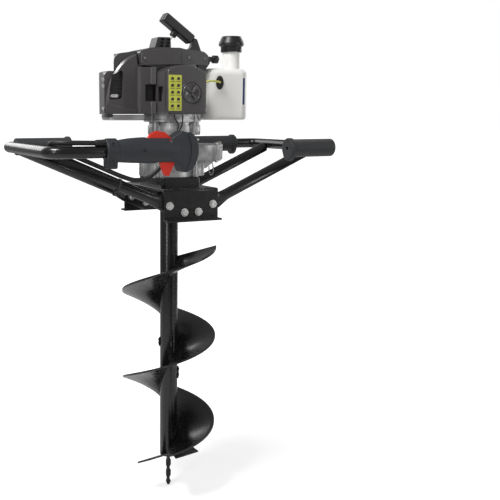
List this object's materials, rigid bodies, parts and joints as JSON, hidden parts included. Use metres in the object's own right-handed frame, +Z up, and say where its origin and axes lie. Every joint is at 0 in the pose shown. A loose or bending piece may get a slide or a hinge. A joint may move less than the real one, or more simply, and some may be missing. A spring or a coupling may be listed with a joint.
{
  "type": "earth auger",
  "caption": "Petrol earth auger: an engine and gearbox on a braced grip frame, turning a flighted soil bit with cutting blades and a pilot drill.",
  "frame": {"origin": "tip of the pilot drill, on the drilling axis", "axes": "+Z up the drilling axis to the engine, +X to the right along the bracket's walls, -Y on the side of the throttle handle"},
  "size_m": [0.62, 0.341, 1.014],
  "materials": {
    "black_paint": "gloss",
    "drill_steel": "satin",
    "zinc": "satin",
    "gear_steel": "satin",
    "cast_aluminium": "cast",
    "friction_metal": "matte",
    "grip_rubber": "matte",
    "handle_plastic": "satin",
    "black_rubber": "matte",
    "engine_plastic": "satin gloss",
    "black_plastic": "satin",
    "cable_sleeve": "satin",
    "red_plastic": "satin",
    "tank_plastic": "satin",
    "muffler_black": "matte",
    "tin_plate": "satin",
    "spring_steel": "satin",
    "rope_cord": "woven",
    "filter_foam": "foam",
    "fuel_hose": "gloss"
  },
  "bodies": {
    "machine": {"brace_bolts": "zinc", "brace_front_left": "black_paint", "brace_front_right": "black_paint", "brace_rear_left": "black_paint", "brace_rear_right": "black_paint", "bracket": "black_paint", "cable_tie": "black_plastic", "carburettor": "cast_aluminium", "clutch_housing": "cast_aluminium", "crankcase": "cast_aluminium", "cylinder": "cast_aluminium", "engine_shroud": "engine_plastic", "fan_case": "cast_aluminium", "filter_base": "engine_plastic", "filter_cover": "engine_plastic", "filter_element": "filter_foam", "fuel_line": "fuel_hose", "fuel_tank": "tank_plastic", "gearbox_bearings": "gear_steel", "gearbox_bolts": "zinc", "gearbox_lower": "cast_aluminium", "gearbox_upper": "cast_aluminium", "handle_shell_front": "handle_plastic", "handle_shell_rear": "handle_plastic", "handlebar_left": "black_paint", "handlebar_right": "black_paint", "ignition_wires": "cable_sleeve", "lower_tin": "tin_plate", "mounting_block": "black_paint", "muffler": "muffler_black", "plug_boot": "black_rubber", "recoil_spring": "spring_steel", "rope_guide": "black_plastic", "rubber_grips": "grip_rubber", "rubber_isolators": "black_rubber", "spark_plug": "gear_steel", "starter_cover": "engine_plastic", "throttle_conduit": "cable_sleeve"},
    "bit": {"auger_tube": "black_paint", "auger_flight": "black_paint", "cutting_blades": "black_paint", "pilot_drill": "drill_steel", "bit_pin": "zinc", "output_shaft": "gear_steel", "output_gear": "gear_steel"},
    "idler": {"idler_shaft": "gear_steel", "idler_gear": "gear_steel"},
    "input": {"input_shaft": "gear_steel", "clutch_drum": "gear_steel"},
    "crank": {"crankshaft": "gear_steel", "flywheel": "cast_aluminium", "clutch_shoes": "friction_metal"},
    "reel": {"starter_reel": "black_plastic", "starter_rope": "rope_cord"},
    "pull_handle": {"starter_handle": "black_plastic"},
    "knob": {"filter_knob": "engine_plastic"},
    "cap": {"fuel_cap": "black_plastic"},
    "trigger": {"throttle_trigger": "red_plastic"},
    "lockoff": {"lockoff_lever": "red_plastic"},
    "switch": {"stop_switch": "black_plastic"}
  },
  "joints": [
    {"name": "bit_spin", "type": "hinge", "parent": "machine", "child": "bit", "pos_m": [0, 0, 0.66], "axis": [0, 0, 1], "continuous": true},
    {"name": "idler_spin", "type": "hinge", "parent": "machine", "child": "idler", "pos_m": [0.06, 0, 0.72], "axis": [0, 0, 1], "continuous": true},
    {"name": "input_spin", "type": "hinge", "parent": "machine", "child": "input", "pos_m": [0, 0, 0.76], "axis": [0, 0, 1], "continuous": true},
    {"name": "crank_spin", "type": "hinge", "parent": "machine", "child": "crank", "pos_m": [0, 0, 0.84], "axis": [0, 0, 1], "continuous": true},
    {"name": "starter_pull", "type": "slide", "parent": "machine", "child": "pull_handle", "axis": [0.5736, 0, 0.8192], "range_m": [0, 0.6], "stiffness_N_per_m": 12, "springref_m": -0.3},
    {"name": "reel_spin", "type": "hinge", "parent": "machine", "child": "reel", "pos_m": [0, 0, 0.918], "axis": [0, 0, 1], "range_deg": [0, 1080]},
    {"name": "filter_knob_turn", "type": "hinge", "parent": "machine", "child": "knob", "pos_m": [-0.008, -0.115, 0.853], "axis": [0, -1, 0], "range_deg": [0, 360]},
    {"name": "fuel_cap_turn", "type": "hinge", "parent": "machine", "child": "cap", "pos_m": [0.144, 0, 0.95], "axis": [0, 0, 1], "range_deg": [0, 450]},
    {"name": "throttle_squeeze", "type": "hinge", "parent": "machine", "child": "trigger", "pos_m": [-0.066, -0.15, 0.729], "axis": [0, 1, 0], "range_deg": [0, 14], "stiffness_Nm_per_rad": 0.5, "springref_deg": -17.19},
    {"name": "lockoff_press", "type": "hinge", "parent": "machine", "child": "lockoff", "pos_m": [-0.074, -0.15, 0.764], "axis": [0, -1, 0], "range_deg": [0, 8], "stiffness_Nm_per_rad": 0.5, "springref_deg": -17.19},
    {"name": "stop_switch_turn", "type": "hinge", "parent": "machine", "child": "switch", "pos_m": [0.07, -0.03, 0.924], "axis": [1, 0, 0], "range_deg": [0, 60]}
  ],
  "couplings": [
    {"joint": "idler_spin", "follows": "bit_spin", "ratio": -4},
    {"joint": "input_spin", "follows": "bit_spin", "ratio": 22.667},
    {"joint": "reel_spin", "follows": "starter_pull", "rad_per_m": 31.25}
  ]
}
